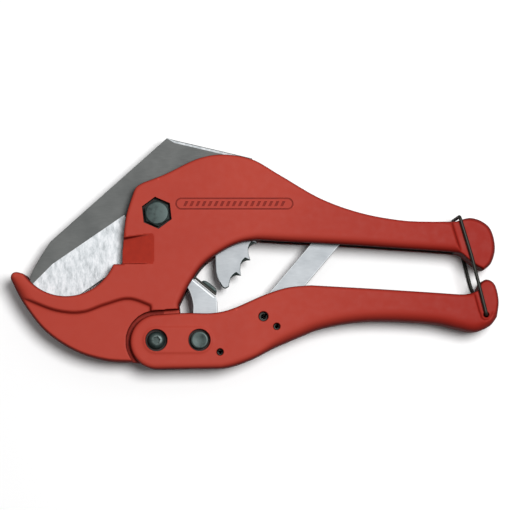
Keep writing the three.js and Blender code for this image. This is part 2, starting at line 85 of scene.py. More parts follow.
TAIL_TIP, TAIL_ROOT, TAIL_INSIDE = 44.6, 41.8, 30.5
TOOTH_PITCH, FIRST_TOOTH, TOOTH_COUNT = 10.1, -5.9, 5
TAIL_SLOT, CORNER_SLOT, TIP_SLOT = 45.3, 48.2, 63.4
EDGE_ANGLE, EDGE_OFFSET, BEVEL_WIDTH, EDGE_HALF = 34.6, 9.33, 17.4, 0.2
TIP_ANGLE, TIP_START, TIP_WIDTH = 45.3, 17.1, 14.9
BOLT, BOLT_HEAD, BOLT_TURN = 3, 10, 36.6  # radius, head across flats, and degrees to its corner
SCREW, SCREW_HEAD, SCREW_NUT = 2.5, 3.75, 8  # radius, head's radius, and nut across flats
SEAT = 7  # level of the shoulders that the screw heads and nuts lie on
HEAD_RECESS, NUT_RECESS, WASHER_RECESS = 4.7, 5, 6.9
HEX_POCKET = 12.1  # across the flats of the pocket round the blade bolt's head
BUSH, NOSE_PIN, SMALL_PIN, LEVER_PIN = 4, 1.4, 1.3, 1.9
LEVER_ANGLE, LEVER_LENGTH, LEVER_WIDTH, LEVER_HALF = 49.7, 51.8, 9.8, 1.5
WIRE_RADIUS, WIRE_LEVEL = 0.75, 9.1
LATCH_FRONT, LATCH_BACK = (129.9, -1.5), (128.7, -1.8)  # where its legs reach the upper handle

CAST_VOXEL = 0.4  # how finely the castings are remeshed
CAST_SMOOTHING = 9


# ---- Outlines: lists of (x, y, rounding), where rounding is how far that edge is rounded over ----


def polar(radius, degrees, centre=PIVOT):
    angle = math.radians(degrees)
    return centre[0] + radius * math.cos(angle), centre[1] + radius * math.sin(angle)


def arc(centre, radius, start, end, rounding=0.0, step=5):
    count = max(2, math.ceil(abs(end - start) / step))
    angles = [start + (end - start) * i / count for i in range(count + 1)]
    return [(*polar(radius, angle, centre), rounding) for angle in angles]


def curve(points, rounding=0.0, step=1.0):
    """A smooth curve through the points. Two points make a straight line."""
    places = [Vector(p) for p in points]
    last = len(places) - 1
    found = [places[0]]
    for i in range(last):
        before, start = places[max(i - 1, 0)], places[i]
        end, after = places[i + 1], places[min(i + 2, last)]
        leave = (end - before) / 2 if last > 1 else end - start
        arrive = (after - start) / 2 if last > 1 else end - start
        cubic = 2 * start - 2 * end + leave + arrive
        square = 3 * end - 3 * start - 2 * leave - arrive
        count = max(1, math.ceil((end - start).length / step))
        for k in range(1, count + 1):
            t = k / count
            found.append((cubic * t + square) * t * t + leave * t + start)
    return [(p.x, p.y, rounding) for p in found]


def outline(*runs):
    """The runs as one closed outline, anticlockwise, with no doubled points."""
    points = []
    for point in (p for run in runs for p in run):
        if not points or math.dist(points[-1][:2], point[:2]) > 0.02:
            points.append(point)
    if math.dist(points[0][:2], points[-1][:2]) < 0.02:
        points.pop()
    area = sum(a[0] * b[1] - b[0] * a[1] for a, b in zip(points, points[1:] + points[:1]))
    return points if area > 0 else points[::-1]


def polygon(*corners):
    return outline([(x, y, 0) for x, y in corners])


def stadium(a, b, radius, rounding=0.0):
    """Two half circles round a and b, which lie on one level line, with a on the left."""
    return outline(arc(a, radius, 90, 270, rounding), arc(b, radius, -90, 90, rounding))


def softened(points, reach=7):
    """Spreads the change from one rounding to the next along the outline."""
    count = len(points)
    spread = range(-reach, reach + 1)
    mean = [sum(points[(i + k) % count][2] for k in spread) / len(spread) for i in range(count)]
    return [(x, y, r) for (x, y, _), r in zip(points, mean)]


# ---- Meshes ----


def piece_from(name, vertices, faces):
    mesh = bpy.data.meshes.new(name)
    mesh.from_pydata(vertices, [], faces)
    mesh.update()
    piece = bpy.data.objects.new(name, mesh)
    bpy.context.scene.collection.objects.link(piece)
    return piece


def inward(points):
    """For each point of an outline, the direction that keeps both its edges at the same distance."""
    normals = []
    for i, (x, y, _) in enumerate(points):
        before, after = points[i - 1], points[(i + 1) % len(points)]
        a = Vector((y - before[1], before[0] - x)).normalized()
        b = Vector((after[1] - y, x - after[0])).normalized()
        middle = a + b
        if middle.length < 0.1:
            middle = a.copy()
        middle.normalize()
        normals.append(-middle / max(middle.dot(a), 0.6))
    return normals


def slab(name, points, low, high, steps=1):
    """The outline between two heights, its edges rounded over in `steps` by each point's rounding."""
    edges = inward(points)
    rings = []
    for side, level in ((-1, low), (1, high)):
        quarter = [math.pi / 2 * k / steps for k in range(steps + 1)]
        for turn in quarter[::-1] if side < 0 else quarter:
            inset, drop = 1 - math.cos(turn), 1 - math.sin(turn)
            rings.append([
                (x + n.x * r * inset, y + n.y * r * inset, level - side * r * drop)
                for (x, y, r), n in zip(points, edges)
            ])
    if max(r for *_, r in points) < 1e-6:
        rings = [rings[0], rings[-1]]
    count = len(points)
    vertices = [v for ring in rings for v in ring]
    faces = [list(range(count))[::-1], [(len(rings) - 1) * count + i for i in range(count)]]
    for k in range(len(rings) - 1):
        for i in range(count):
            j = (i + 1) % count
            faces.append([k * count + i, k * count + j, (k + 1) * count + j, (k + 1) * count + i])
    piece = piece_from(name, vertices, faces)
    tidy(piece)
    return piece


def turned(name, centre, profile, sides=64):
    """(radius, height) pairs turned round an axis along Z. They start and end on the axis."""
    vertices = []
    for radius, height in profile[1:-1]:
        ring = [polar(radius, 360 * i / sides, centre) for i in range(sides)]
        vertices += [(x, y, height) for x, y in ring]
    bottom, top = len(vertices), len(vertices) + 1
    vertices += [(*centre, profile[0][1]), (*centre, profile[-1][1])]
    faces = []
    for i in range(sides):
        j = (i + 1) % sides
        faces.append([bottom, j, i])
        for k in range(len(profile) - 3):
            faces.append([k * sides + i, k * sides + j, (k + 1) * sides + j, (k + 1) * sides + i])
        end = (len(profile) - 3) * sides
        faces.append([end + i, end + j, top])
    return piece_from(name, vertices, faces)


def bar(name, centre, radius, low, high, sides=64):
    return turned(name, centre, [(0, low), (radius, low), (radius, high), (0, high)], sides)


def hexagon(centre, across_flats, turn):
    radius = across_flats / math.sqrt(3)
    return outline([(*polar(radius, turn + 60 * i, centre), 0) for i in range(6)])


def wire(name, path, radius, sides=14):
    """Round wire along a path in space, with flat ends."""
    route = bpy.data.curves.new(name, "CURVE")
    route.dimensions = "3D"
    route.bevel_depth = radius
    route.bevel_resolution = sides // 2 - 2
    route.use_fill_caps = True
    spline = route.splines.new("POLY")
    spline.points.add(len(path) - 1)
    for point, place in zip(spline.points, path):
        point.co = (*place, 1)
    carrier = bpy.data.objects.new(name, route)
    bpy.context.scene.collection.objects.link(carrier)
    mesh = bpy.data.meshes.new_from_object(carrier.evaluated_get(bpy.context.evaluated_depsgraph_get()))
    bpy.data.objects.remove(carrier)
    piece = bpy.data.objects.new(name, mesh)
    bpy.context.scene.collection.objects.link(piece)
    tidy(piece)
    return piece


def tidy(piece):
    """Triangulates the flat ends and makes every face look outwards."""
    work = bmesh.new()
    work.from_mesh(piece.data)
    bmesh.ops.remove_doubles(work, verts=work.verts, dist=1e-4)
    bmesh.ops.triangulate(work, faces=[f for f in work.faces if len(f.verts) > 4])
    bmesh.ops.recalc_face_normals(work, faces=work.faces)
    work.to_mesh(piece.data)
    work.free()


def apply_modifiers(piece):
    state = bpy.context.evaluated_depsgraph_get()
    mesh = bpy.data.meshes.new_from_object(piece.evaluated_get(state))
    piece.modifiers.clear()
    old, piece.data = piece.data, mesh
    bpy.data.meshes.remove(old)


def combine(piece, tool, operation):
    modifier = piece.modifiers.new("combine", "BOOLEAN")
    modifier.operation = operation
    modifier.object = tool
    modifier.solver = "MANIFOLD"
    apply_modifiers(piece)
    if not piece.data.vertices:
        raise ValueError(f"{operation} with {tool.name} left nothing of {piece.name}")
    bpy.data.objects.remove(tool)


def cut(piece, *tools):
    for tool in tools:
        combine(piece, tool, "DIFFERENCE")


def cut_both_faces(piece, points, depth):
    """Steps the front and the back face down to `depth` inside the outline."""
    cut(piece, slab("front", points, depth, BEYOND), slab("back", points, -BEYOND, -depth))


def slant_step(piece, points, face, depth, run=1.2, steps=3):
    """Cuts a face step whose wall leans back by `run` from the outline's foot to its top."""
    edges = inward(points)
    climb = 0.97 * (face - depth)  # the last step stays just below the face
    for k in range(steps + 1):
        share = k / steps
        shift = run * share
        shifted = [(x - n.x * shift, y - n.y * shift, 0) for (x, y, _), n in zip(points, edges)]
        cut_both_faces(piece, shifted, depth + climb * share)


def cast(piece):
    """Gives a solid the soft edges and corners of a painted casting."""
    remesh = piece.modifiers.new("remesh", "REMESH")
    remesh.mode = "VOXEL"
    remesh.voxel_size = CAST_VOXEL
    smooth = piece.modifiers.new("smooth", "SMOOTH")
    smooth.iterations = CAST_SMOOTHING
    smooth.factor = 0.5
    apply_modifiers(piece)


def encloses(points, x, y):
    """Whether an outline goes round the place (x, y)."""
    within = False
    for (ax, ay, _), (bx, by, _) in zip(points, points[-1:] + points[:-1]):
        if (ay > y) != (by > y) and x < ax + (y - ay) * (bx - ax) / (by - ay):
            within = not within
    return within


def paint_inside_shade(piece, channel, *recesses, half=CHANNEL_HALF, margin=0.2):
    """Gives the second finish, painted shade, to the faces inside a casting's channel and its round
    recesses.
    """
    for face in piece.data.polygons:
        x, y, z = face.center
        in_recess = any(math.dist((x, y), centre) < radius for centre, radius in recesses)
        if in_recess and abs(z) < BODY_HALF - margin:
            face.material_index = 1
        if abs(z) > half + margin:
            continue
        faces_middle = face.normal.z * z < -0.5 * abs(z)
        behind = face.center + face.normal * 0.5  # half a millimetre out from the face
        if faces_middle or encloses(channel, behind.x, behind.y):
            face.material_index = 1


def settle(piece, body, *nodes, sharp=32, moved=None):
    """Moves a finished piece from the drawing to the frame, and lets it stand for its CAD nodes."""
    if moved is not None:
        piece.data.transform(moved)
    piece.data.polygons.foreach_set("use_smooth", [True] * len(piece.data.polygons))
    piece.data.set_sharp_from_angle(angle=math.radians(sharp))
    flats = piece.modifiers.new("flats", "WEIGHTED_NORMAL")
    flats.keep_sharp = True
    apply_modifiers(piece)
    piece.data.transform(Matrix.Translation(ORIGIN) @ Matrix.Scale(MM, 4))
    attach(piece, body)
    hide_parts(*nodes)
    return piece


# ---- Finishes ----


class Finish:
    """A node material with short names for the nodes that its looks are made from."""

    def __init__(self, name):
        self.material = bpy.data.materials.new(name)
        self.material.use_nodes = True
        self.tree = self.material.node_tree
        self.shader = self.tree.nodes["Principled BSDF"]
        self.place = self.tree.nodes.new("ShaderNodeTexCoord").outputs["Object"]

    def node(self, kind, **values):
        node = self.tree.nodes.new(kind)
        for key, value in values.items():
            if key in node.inputs:
                node.inputs[key].default_value = value
            else:
                setattr(node, key, value)
        return node

    def link(self, source, target):
        self.tree.links.new(source, target)

    def noise(self, scale, detail=3.0, stretch=(1, 1, 1), turn=0.0, rough=0.5):
        mapping = self.node("ShaderNodeMapping")
        mapping.inputs["Rotation"].default_value = (0, 0, math.radians(turn))
        mapping.inputs["Scale"].default_value = stretch
        self.link(self.place, mapping.inputs["Vector"])
        noise = self.node("ShaderNodeTexNoise", Scale=scale, Detail=detail, Roughness=rough)
        self.link(mapping.outputs["Vector"], noise.inputs["Vector"])
        return noise.outputs["Fac"]

    def ramp(self, source, *stops):
        """Colour or number stops along a 0 to 1 source, as (place, value) pairs."""
        node = self.node("ShaderNodeValToRGB")
        for _ in stops[2:]:
            node.color_ramp.elements.new(0.5)
        for element, (place, value) in zip(node.color_ramp.elements, stops):
            element.position = place
            element.color = (*value, 1) if isinstance(value, tuple) else (value, value, value, 1)
        self.link(source, node.inputs["Fac"])
        return node.outputs["Color"]

    def mix(self, amount, a, b):
        node = self.node("ShaderNodeMix", data_type="RGBA")
        factor, first, second = node.inputs[0], node.inputs[6], node.inputs[7]
        for socket, value in ((factor, amount), (first, a), (second, b)):
            if isinstance(value, bpy.types.NodeSocket):
                self.link(value, socket)
            elif isinstance(value, tuple):
                socket.default_value = (*value, 1)
            else:
                socket.default_value = value
        return node.outputs[2]

    def along_x(self, start, end, most=0.85):
        """0 up to x = start, rising to `most` at x = end, in metres."""
        split = self.node("ShaderNodeSeparateXYZ")
        self.link(self.place, split.inputs["Vector"])
        share = self.node("ShaderNodeMapRange")
        for key, value in (("From Min", start), ("From Max", end), ("To Max", most)):
            share.inputs[key].default_value = value
        self.link(split.outputs["X"], share.inputs["Value"])
        return share.outputs["Result"]

    def off_level(self, low, high):
        """0 on walls, rising to 1 on faces that lie level."""
        split = self.node("ShaderNodeSeparateXYZ")
        self.link(self.tree.nodes["Texture Coordinate"].outputs["Normal"], split.inputs["Vector"])
        upright = self.node("ShaderNodeMath", operation="ABSOLUTE")
        self.link(split.outputs["Z"], upright.inputs[0])
        return self.ramp(upright.outputs["Value"], (low, 0.0), (high, 1.0))

    def wear(self, low=0.52, high=0.6):
        """0 on flats and in corners, 1 on edges that stick out."""
        pointiness = self.node("ShaderNodeNewGeometry").outputs["Pointiness"]
        return self.ramp(pointiness, (low, 0.0), (high, 1.0))

    def bump(self, height, distance_mm, strength):
        node = self.node("ShaderNodeBump", Strength=strength, Distance=distance_mm * MM)
        self.link(height, node.inputs["Height"])
        self.link(node.outputs["Normal"], self.shader.inputs["Normal"])

    def set(self, **values):
        for key, value in values.items():
            socket = self.shader.inputs[key.replace("_", " ")]
            if isinstance(value, bpy.types.NodeSocket):
                self.link(value, socket)
            else:
                socket.default_value = (*value, 1) if isinstance(value, tuple) else value


def red_paint():
    """Satin powder coat: cloudy patches, with painted shade towards the handle ends and on the walls
    round the rims.
    """
    finish = Finish("red_paint")
    clouds = finish.noise(28, 4)
    colour = finish.ramp(clouds, (0.3, (0.375, 0.042, 0.027)), (0.7, (0.408, 0.049, 0.031)))
    worn = finish.mix(finish.wear(), colour, (0.49, 0.062, 0.042))
    # Painted shade: the paint darkens towards the handle ends, where less light falls
    ends_shaded = finish.mix(finish.along_x(0.0, 0.095), worn, (0.27, 0.014, 0.009))
    # Painted shade: walls and roundings, turned away from the overhead light, are darker
    walls_shaded = finish.mix(finish.off_level(0.45, 0.985), (0.17, 0.008, 0.005), ends_shaded)
    finish.set(Base_Color=walls_shaded, Roughness=finish.ramp(finish.noise(300, 2), (0.3, 0.5), (0.7, 0.62)))
    finish.set(Specular_IOR_Level=0.1)
    finish.bump(finish.noise(900, 2), 0.03, 0.35)
    return finish.material


def brushed(name, dark, light, rough, metallic, turn):
    """Rolled or ground steel with marks along one direction."""
    finish = Finish(name)
    marks = finish.noise(260, 3, (1, 14, 1), turn)
    patches = finish.noise(90, 4)
    colour = finish.mix(finish.ramp(patches, (0.35, 0.0), (0.65, 1.0)), dark, light)
    finish.set(Base_Color=colour, Metallic=metallic)
    finish.set(Roughness=finish.ramp(marks, (0.25, rough - 0.07), (0.75, rough + 0.07)))
    finish.bump(marks, 0.01, 0.5)
    return finish.material


GRINDING_TURN = 20  # degrees that the bevel's grinding marks lean from the tool's width


def ground_bevel():
    """The freshly ground bevel: bright, with blotchy marks across the cutting edge."""
    finish = Finish("blade_bevel")
    across = finish.noise(420, 5, (7, 1, 1), GRINDING_TURN, 0.7)
    blotches = finish.noise(230, 5, (2.4, 1, 1), GRINDING_TURN, 0.7)
    shades = (0.3, (0.36, 0.385, 0.4)), (0.47, (0.56, 0.59, 0.61)), (0.62, (0.72, 0.74, 0.76))
    colour = finish.ramp(blotches, *shades)
    finish.set(Base_Color=colour, Metallic=0.25)
    finish.set(Roughness=finish.ramp(across, (0.3, 0.5), (0.7, 0.7)))
    finish.bump(across, 0.015, 0.5)
    return finish.material


def black_oxide():
    """Blackened fasteners, rubbed paler on their edges."""
    finish = Finish("black_steel")
    patches = finish.noise(500, 4)
    colour = finish.ramp(patches, (0.3, (0.016, 0.026, 0.025)), (0.7, (0.04, 0.062, 0.058)))
    worn = finish.mix(finish.wear(0.53, 0.64), colour, (0.16, 0.2, 0.19))
    finish.set(Base_Color=worn, Metallic=0.55)
    finish.set(Roughness=finish.ramp(patches, (0.3, 0.34), (0.7, 0.5)))
    finish.bump(finish.noise(1500, 2), 0.01, 0.4)
    return finish.material


def oiled_wire():
    """Nearly black spring steel with a film of oil."""
    finish = Finish("spring_wire")
    patches = finish.noise(350, 4)
    colour = finish.ramp(patches, (0.3, (0.01, 0.01, 0.008)), (0.7, (0.028, 0.027, 0.021)))
    finish.set(Base_Color=colour, Metallic=0.3, Specular_IOR_Level=0.3)
    finish.set(Roughness=finish.ramp(patches, (0.3, 0.4), (0.7, 0.55)))
    finish.bump(finish.noise(1800, 2), 0.008, 0.4)
    return finish.material


def table_top():
    """A pale board that is seen as nearly white, but throws less light back under the tool."""
    finish = Finish("table_top")
    seen = finish.node("ShaderNodeLightPath").outputs["Is Camera Ray"]
    pale = finish.ramp(finish.noise(6, 3), (0.3, 0.96), (0.7, 0.98))
    finish.set(Base_Color=finish.mix(seen, (0.45, 0.45, 0.45), pale), Roughness=0.8)
    finish.set(Specular_IOR_Level=0.2)
    return finish.material


def inside_shade_finish():
    """Painted shade for the castings' inside and recesses: near-black paint in patches."""
    finish = Finish("casting_inside_shade")
    patches = finish.noise(120, 4)
    colour = finish.ramp(patches, (0.3, (0.012, 0.006, 0.005)), (0.7, (0.03, 0.011, 0.009)))
    finish.set(Base_Color=colour, Specular_IOR_Level=0.3)
    finish.set(Roughness=finish.ramp(patches, (0.3, 0.5), (0.7, 0.75)))
    finish.bump(finish.noise(700, 3), 0.04, 0.4)
    return finish.material


def recess_shade_finish(name, dark, light):
    """Dull, darker red: painted shade for recessed places."""
    finish = Finish(name)
    patches = finish.noise(400, 3)
    finish.set(Base_Color=finish.ramp(patches, (0.3, dark), (0.7, light)))
    finish.set(Roughness=finish.ramp(patches, (0.3, 0.6), (0.7, 0.75)), Specular_IOR_Level=0.1)
    finish.bump(finish.noise(900, 2), 0.02, 0.4)
    return finish.material


RED = red_paint()
# Painted shade: darker red in the mark's groove, by the moving handle's end, and on the pocket's
# sloping floor
GROOVE_AND_GAP_SHADE = recess_shade_finish("mark_groove", (0.19, 0.018, 0.013), (0.25, 0.027, 0.018))
POCKET_SHADE = recess_shade_finish("pocket_shade", (0.315, 0.024, 0.013), (0.355, 0.028, 0.015))
# Painted shade for the castings' inside
INSIDE_SHADE = inside_shade_finish()
BLADE_GREYS = (0.085, 0.09, 0.088), (0.11, 0.115, 0.112)
BRIGHT_GREYS = (0.34, 0.365, 0.385), (0.43, 0.455, 0.475)
# Painted highlight: a paler copy of the bright steel for rounded edges that catch the light
EDGE_HIGHLIGHT_GREYS = (0.6, 0.63, 0.65), (0.72, 0.75, 0.77)
FLAT_STEEL = brushed("blade_steel", *BLADE_GREYS, rough=0.6, metallic=0.4, turn=EDGE_ANGLE)
BEVEL_STEEL = ground_bevel()
BRIGHT_STEEL = brushed("bright_steel", *BRIGHT_GREYS, rough=0.6, metallic=0.3, turn=LEVER_ANGLE)
EDGE_HIGHLIGHT = brushed("edge_highlight", *EDGE_HIGHLIGHT_GREYS, rough=0.5, metallic=0.3, turn=LEVER_ANGLE)
BLACK_STEEL = black_oxide()
SPRING_WIRE = oiled_wire()


def dress(piece, slot, *materials):
    """Gives a piece its finishes: each face keeps its material index, and most have 0."""
    faces = piece.data.polygons
    chosen = [0] * len(faces)
    faces.foreach_get("material_index", chosen)
    piece.data.materials.clear()
    for material in materials:
        piece.data.materials.append(material)
    faces.foreach_set("material_index", chosen)


# ---- Camera, floor and light ----

AIM = (42.1, -17.4)  # the place in the drawing at the middle of the view
TILT = 85.6  # degrees above the horizon
DISTANCE = 0.9
SENSOR = 36  # the film's width in millimetres, as Blender's cameras have
LENS = 146.8


def camera():
    target = ORIGIN + Vector((*AIM, 0)) * MM
    tilt = math.radians(TILT)
    back = Vector((0, -math.cos(tilt), math.sin(tilt)))
    data = bpy.data.cameras.new("camera")
    data.sensor_width = SENSOR
    data.lens = LENS
    data.clip_start, data.clip_end = 0.01, 20
    eye = bpy.data.objects.new("camera", data)
    eye.location = target + back * DISTANCE
    eye.rotation_mode = "QUATERNION"
    eye.rotation_quaternion = (-back).to_track_quat("-Z", "Y")
    bpy.context.scene.collection.objects.link(eye)
    bpy.context.scene.camera = eye


KEY_PLACE, KEY_SIZE, KEY_POWER = Vector((0.27, 0.12, 1.0)), 0.4, 10.3  # in metres and watts
SKY_FROM = (-0.1, 0.5, 0.8)  # the direction that the sky is brightest in
FLOOR_REACH = 3


def key_light():
    data = bpy.data.lights.new("key", "AREA")
    data.shape = "DISK"
    data.size = KEY_SIZE
    data.energy = KEY_POWER
    light = bpy.data.objects.new("key", data)
    light.location = KEY_PLACE
    light.rotation_mode = "QUATERNION"
    light.rotation_quaternion = (-KEY_PLACE).to_track_quat("-Z", "Y")
    bpy.context.scene.collection.objects.link(light)


def surroundings():
    corners = [(x * FLOOR_REACH, y * FLOOR_REACH, 0) for x, y in ((-1, -1), (1, -1), (1, 1), (-1, 1))]
    floor = piece_from("floor", corners, [[0, 1, 2, 3]])
    floor.data.materials.append(table_top())
    key_light()
    studio_sky()
    bpy.context.scene.view_settings.view_transform = "Standard"


def studio_sky():
    """Soft light from overhead and behind the tool. The backdrop itself is seen as pale."""
    world = bpy.data.worlds.new("world")
    world.use_nodes = True
    tree = world.node_tree
    background = tree.nodes["Background"]
    direction = tree.nodes.new("ShaderNodeTexCoord").outputs["Generated"]
    height = tree.nodes.new("ShaderNodeVectorMath")
    height.operation = "DOT_PRODUCT"
    height.inputs[1].default_value = Vector(SKY_FROM).normalized()
    tree.links.new(direction, height.inputs[0])
    fade = tree.nodes.new("ShaderNodeValToRGB")
    for element, (position, grey) in zip(fade.color_ramp.elements, ((0.3, 0.02), (0.95, 0.5))):
        element.position = position
        element.color = (grey, grey, grey, 1)
    tree.links.new(height.outputs["Value"], fade.inputs["Fac"])
    seen = tree.nodes.new("ShaderNodeLightPath").outputs["Is Camera Ray"]
    shown = tree.nodes.new("ShaderNodeMix")
    shown.data_type = "RGBA"
    tree.links.new(seen, shown.inputs[0])
    tree.links.new(fade.outputs["Color"], shown.inputs[6])
    shown.inputs[7].default_value = (0.93, 0.93, 0.93, 1)
    tree.links.new(shown.outputs[2], background.inputs["Color"])
    bpy.context.scene.world = world


camera()
surroundings()

# ---- Body casting ----

UPPER_HANDLE_TOP = [(52.8, 16.4), (70.2, 6.3), (87.4, 0.1), (104.6, -3.1), (118, -3.7)]
CRISP, SOFT, BROAD, DOMED = 1.1, 2.6, 3.6, 6  # roundings of the castings' edges


def body_outline():
    back = [(-5.9, 13.2), (3.4, 16.8), (17.5, 23.5), (28.5, 25.3), (40.9, 23.2)]
    bulb = [(128.4, -3.5), (135.7, -1.7), (143, -5.6), (145.5, -14), (143.9, -21), (140.4, -24.4)]
    grip = [(131.5, -17.9), (127.5, -16.8), (104, -15.1), (78.6, -13.4), (54.8, -12.2), (42.7, -11.4)]
    throat = [(42.7, -11.4), (36, -12.4), (28.8, -15.6), (20.3, -21.7), (14.2, -30.1), (9.4, -39.4)]
    belly = [(0, -65.3), (-9.3, -64.1), (-21.6, -63.3), (-34.8, -59.3), (-47.8, -50.7)]
    tip = [(-57.4, -38.6), (-62.3, -29.1)]
    return outline(
        curve([(-15, -22), (-14.7, -14), (-13.3, -1.5), (-10.4, 8.2)], CRISP),
        curve([(-10.4, 8.2), (-9, 11.2), (-5.9, 13.2)], CRISP),
        curve([*back, *UPPER_HANDLE_TOP, bulb[0]], CRISP),
        curve(bulb, DOMED),
        curve([(140.4, -24.4), (136.4, -22.2), (131.5, -17.9)], BROAD),
        curve(grip, BROAD),
        curve(throat, SOFT),
        curve([(9.4, -39.4), (10.2, -46), (10.6, HINGE[1])], CRISP),
        arc(HINGE, 10.6, 0, -88, CRISP),
        curve(belly + tip, DOMED - 1),
        arc((-60.2, -27.8), 2.5, 211, 70, CRISP, step=12),
        arc(JAW, JAW_RADIUS, 214, 338.4, CRISP),
    )


def hook_relief():
    """Below this S-shaped line the hook's faces are stepped down."""
    left, right, bottom = -66, -2.8, -75
    wave = [(-57.6, -36.5), (-43.6, -42), (-32, -42.9), (-22, -39.6), (-12, -37.1)]
    return outline(curve([(left, -33), *wave, (right, -40)]), [(right, bottom, 0), (left, bottom, 0)])


def blade_slot(piece):
    """The blade turns in this slot, which is a disc and two sectors that its corners sweep."""
    edge = EDGE_OFFSET + 1.2
    reach = math.sqrt(TIP_SLOT**2 - edge**2)
    foot = polar(edge, EDGE_ANGLE - 90)
    along = [polar(t, EDGE_ANGLE, foot) for t in (-10, -reach)]
    tip = 180 + EDGE_ANGLE + math.degrees(math.asin(edge / TIP_SLOT))
    for_tip = outline(curve(along), arc(PIVOT, TIP_SLOT, tip, 165))
    for_corner = outline([(0, 0, 0)], arc(PIVOT, CORNER_SLOT, -38, 50))
    cut(piece, bar("slot", PIVOT, TAIL_SLOT, -SLOT_HALF, SLOT_HALF, 120))
    cut(piece, slab("tip_slot", for_tip, -SLOT_HALF, SLOT_HALF))
    cut(piece, slab("corner_slot", for_corner, -SLOT_HALF, SLOT_HALF))


def upper_channel():
    roof = [(x, y - WALL) for x, y in UPPER_HANDLE_TOP]
    return outline(
        [(44.6, -22, 0), (44.6, 13.5, 0)],
        curve([(44.6, 13.5), (47.6, 14.3), *roof, (125, -7.9)]),
        [(127, -10, 0), (129, -22, 0)],
    )


POCKET_RIGHT, POCKET_TOP, POCKET_BOTTOM = -1, -8.9, -22
POCKET_FALL = 3.4  # how far its floor lies below the face at the head's front edge


def sloped_pocket():
    """A pocket beside the jaw that falls away towards the head's front edge, below a slanted wall."""
    left, over = -18, 6
    section = [(POCKET_RIGHT, 0), (left, -POCKET_FALL), (left, over), (POCKET_RIGHT, over)]
    vertices = [(x, POCKET_TOP + min(z, 0), BODY_HALF + z) for x, z in section]
    vertices += [(x, POCKET_BOTTOM, BODY_HALF + z) for x, z in section]
    faces = [[0, 1, 2], [0, 2, 3], [7, 6, 5, 4]]
    faces += [[i, 4 + i, 4 + (i + 1) % 4, (i + 1) % 4] for i in range(4)]
    piece = piece_from("pocket", vertices, faces)
    tidy(piece)
    return piece


def chamfered_bore(name, centre, radius, face, chamfer=0.25):
    """A drill for a through hole whose rims are chamfered at both faces."""
    profile = [
        (0, -BEYOND), (radius + chamfer, -BEYOND), (radius + chamfer, -face), (radius, -face + chamfer),
        (radius, face - chamfer), (radius + chamfer, face), (radius + chamfer, BEYOND), (0, BEYOND),
    ]
    return turned(name, centre, profile)


def mark_groove(piece):
    """A plain lozenge groove round a row of short slanted bars: a mark with no lettering."""
    left, right, middle, radius, width, depth = 10.5, 56, 3.9, 2.6, 0.7, 0.35
    floor = BODY_HALF - depth
    ring = slab("ring", stadium((left, middle), (right, middle), radius), floor, BEYOND)
    inner = stadium((left, middle), (right, middle), radius - width)
    cut(ring, slab("inner", inner, floor - 1, BEYOND + 1))
    cut(piece, ring)
    pitch, lean, tall, broad = 2.6, 0.5, 1.1, 1.2
    for i in range(int((right - left) / pitch)):
        x = left + pitch * (i + 0.5)
        bar_outline = polygon(
            (x - lean, middle - tall), (x - lean + broad, middle - tall),
            (x + lean + broad, middle + tall), (x + lean, middle + tall),
        )
        cut(piece, slab("bar", bar_outline, floor, BEYOND))
    outer = radius + 0.2
    # Painted shade on the groove's faces, with the third finish
    for face in piece.data.polygons:
        x, y, z = face.center
        in_lozenge = left - outer < x < right + outer and abs(y - middle) < outer
        if in_lozenge and floor - 0.01 < z < BODY_HALF - 0.03:
            face.material_index = 2


CHEEK, CHEEK_RADIUS = (0.1, -55.1), 13.2  # the round step that the moving handle's end turns in


def paint_recess_shades(piece):
    """The pocket's floor, and the wall of the gap round the moving handle's end, take painted shade."""
    for face in piece.data.polygons:
        x, y, z = face.center
        sloping = 0.9 < face.normal.z < 0.99 and z > BODY_HALF - POCKET_FALL - 0.6
        if sloping and x < POCKET_RIGHT and POCKET_BOTTOM < y < POCKET_TOP + 0.4:
            face.material_index = 3
        off_wall = math.dist((x, y), CHEEK) - CHEEK_RADIUS
        beside_cheek = x < 3 and y < -41 and -1.6 < off_wall < 0.25
        if beside_cheek and TONGUE_HALF - 0.4 < abs(z) < BODY_HALF - 0.12:
            face.material_index = 2


